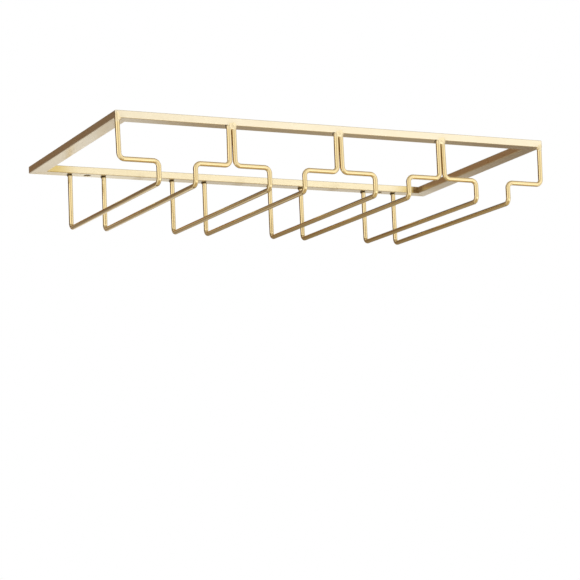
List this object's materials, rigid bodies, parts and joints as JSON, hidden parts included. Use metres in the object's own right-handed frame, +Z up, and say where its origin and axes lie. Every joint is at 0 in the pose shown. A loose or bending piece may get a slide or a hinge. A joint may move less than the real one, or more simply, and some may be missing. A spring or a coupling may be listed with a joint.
{
  "type": "hanging wine glass rack",
  "caption": "Under-shelf stemware rack: a flat rectangular tube frame with pairs of bent wire rails hanging below it as open lanes with a raised front step.",
  "frame": {"origin": "middle of the frame's top plane, the plane that lies against the shelf's underside", "axes": "+X to the right along the front bar, +Y from the front bar to the rear bar, +Z up into the shelf"},
  "size_m": [0.43, 0.2308, 0.0637],
  "materials": {
    "satin_gold_tube": "steel tube with a satin gold coating, softly reflective",
    "satin_gold_wire": "steel wire with a satin gold coating, a little glossier than the tube",
    "weld_gold": "steel weld bead under the same satin gold coating, slightly duller"
  },
  "bodies": {
    "root": {"front_bar": "satin_gold_tube", "right_bar": "satin_gold_tube", "rear_bar": "satin_gold_tube", "left_bar": "satin_gold_tube", "lane_1_left_rail": "satin_gold_wire", "lane_1_right_rail": "satin_gold_wire", "lane_2_left_rail": "satin_gold_wire", "lane_2_right_rail": "satin_gold_wire", "lane_3_left_rail": "satin_gold_wire", "lane_3_right_rail": "satin_gold_wire", "lane_4_left_rail": "satin_gold_wire", "lane_4_right_rail": "satin_gold_wire", "front_weld_1": "weld_gold", "front_weld_2": "weld_gold", "front_weld_3": "weld_gold", "front_weld_4": "weld_gold", "front_weld_5": "weld_gold", "rear_weld_1_left": "weld_gold", "rear_weld_1_right": "weld_gold", "rear_weld_2_left": "weld_gold", "rear_weld_2_right": "weld_gold", "rear_weld_3_left": "weld_gold", "rear_weld_3_right": "weld_gold", "rear_weld_4_left": "weld_gold", "rear_weld_4_right": "weld_gold"}
  },
  "joints": []
}
